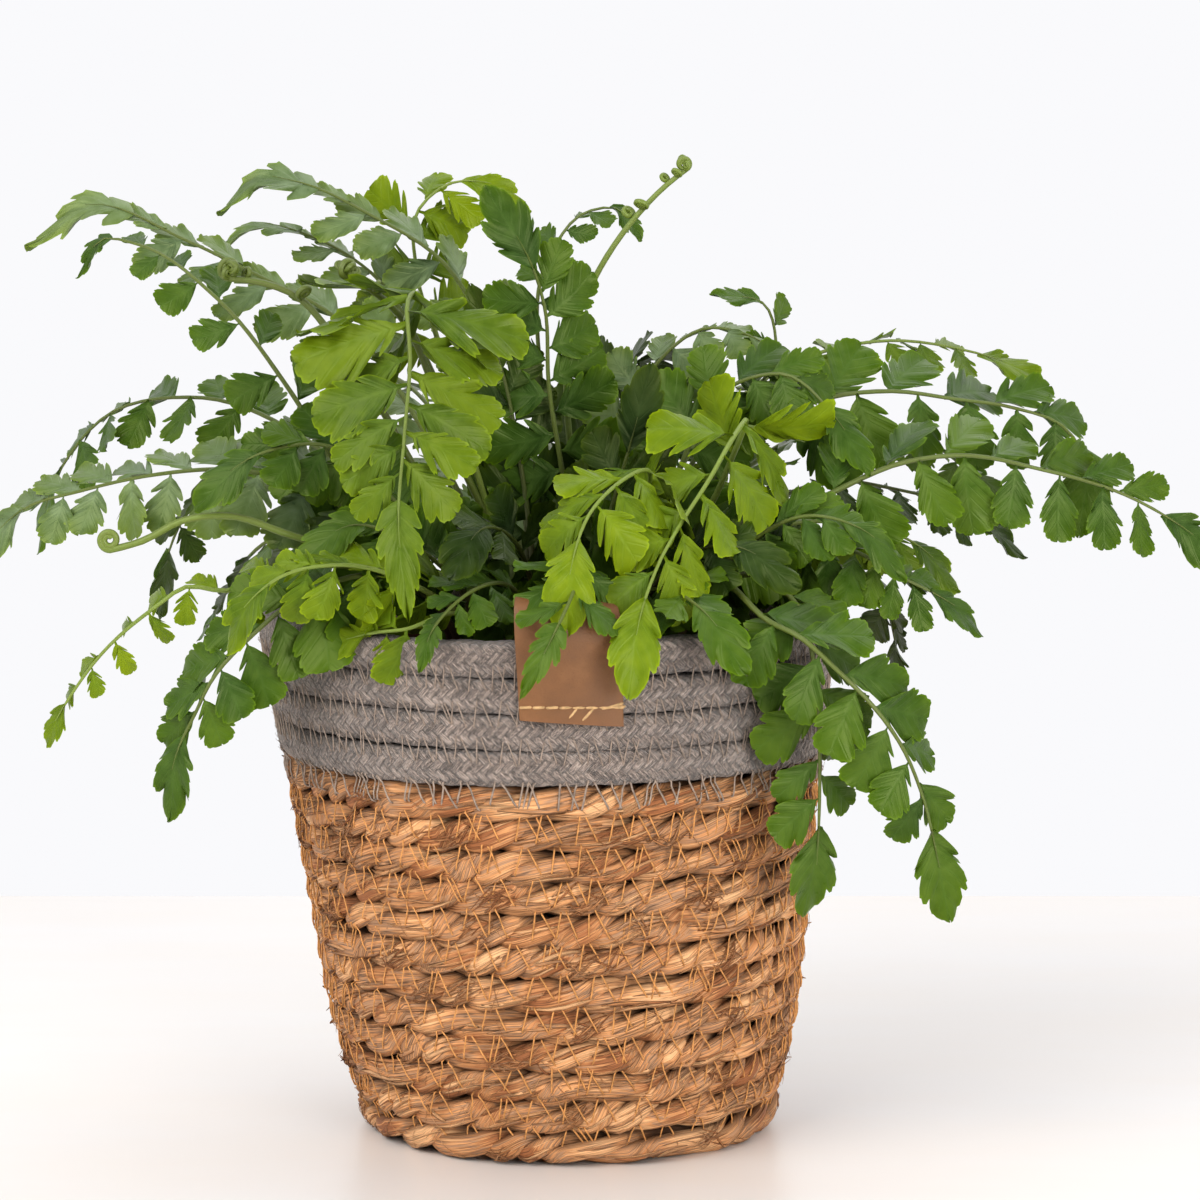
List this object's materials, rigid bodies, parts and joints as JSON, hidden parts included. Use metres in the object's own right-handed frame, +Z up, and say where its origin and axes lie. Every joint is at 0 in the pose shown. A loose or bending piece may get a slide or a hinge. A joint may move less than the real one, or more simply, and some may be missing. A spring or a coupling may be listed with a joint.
{
  "type": "potted mother fern",
  "caption": "Fern of arching fronds with notched leaflets, in a nursery pot inside a round braided basket with a rope rim and a blank folded tag.",
  "frame": {"origin": "centre of the basket's flat underside, on the surface it stands on", "axes": "+Z up; the tag and the front of the basket face -Y; +X to the right seen from the front"},
  "size_m": [0.3074, 0.225, 0.2428],
  "materials": {
    "water_hyacinth": "braided dry plant fibre, matte with silky strands",
    "cotton_rope": "heathered grey braided cotton, fuzzy",
    "tan_leather": "smooth tan leather, satin",
    "liner_film": "thin black film",
    "brown_plastic": "thin brown nursery-pot plastic",
    "potting_soil": "damp peat and bark, rough",
    "leaf_deep": "dark green leaf, satin with a waxy sheen",
    "leaf_green": "mid green leaf, satin",
    "leaf_silver": "grey green leaf with a silvery sheen",
    "leaf_pale": "pale green young leaf, satin",
    "leaf_lime": "yellow green young leaf, satin"
  },
  "bodies": {
    "root": {"basket": "water_hyacinth", "crozier_left": "leaf_pale", "crozier_tall": "leaf_pale", "frond_back_centre": "leaf_deep", "frond_back_hanging_left": "leaf_deep", "frond_back_hanging_right": "leaf_green", "frond_back_left": "leaf_green", "frond_back_left_long": "leaf_silver", "frond_back_low_left": "leaf_green", "frond_back_low_right": "leaf_deep", "frond_back_right": "leaf_green", "frond_back_right_long": "leaf_green", "frond_back_upright": "leaf_deep", "frond_centre_lime": "leaf_lime", "frond_centre_upright": "leaf_green", "frond_front_hanging": "leaf_pale", "frond_front_lime": "leaf_lime", "frond_inner_right": "leaf_deep", "frond_left_behind": "leaf_deep", "frond_left_hanging": "leaf_deep", "frond_left_lime": "leaf_lime", "frond_left_long": "leaf_green", "frond_left_middle": "leaf_deep", "frond_left_rising": "leaf_silver", "frond_low_left": "leaf_green", "frond_low_left_of_centre": "leaf_deep", "frond_low_right": "leaf_green", "frond_low_right_of_centre": "leaf_deep", "frond_lower_left_thin": "leaf_lime", "frond_middle_left": "leaf_deep", "frond_middle_silver": "leaf_silver", "frond_on_rim": "leaf_lime", "frond_over_tag": "leaf_deep", "frond_right_back_upper": "leaf_pale", "frond_right_dark": "leaf_deep", "frond_right_hanging": "leaf_green", "frond_right_hanging_inner": "leaf_green", "frond_right_long": "leaf_green", "frond_right_low": "leaf_green", "frond_right_middle": "leaf_green", "frond_right_pale": "leaf_pale", "frond_right_tip_up": "leaf_green", "frond_right_upper": "leaf_green", "frond_rim_left": "leaf_green", "frond_rim_right": "leaf_deep", "frond_top_left_inner": "leaf_deep", "frond_top_left_long": "leaf_silver", "frond_top_left_short": "leaf_silver", "frond_top_pale": "leaf_lime", "frond_top_right_edge": "leaf_green", "liner": "liner_film", "nursery_pot": "brown_plastic", "rim_tag": "tan_leather", "rope_band": "cotton_rope", "soil": "potting_soil"}
  },
  "joints": []
}
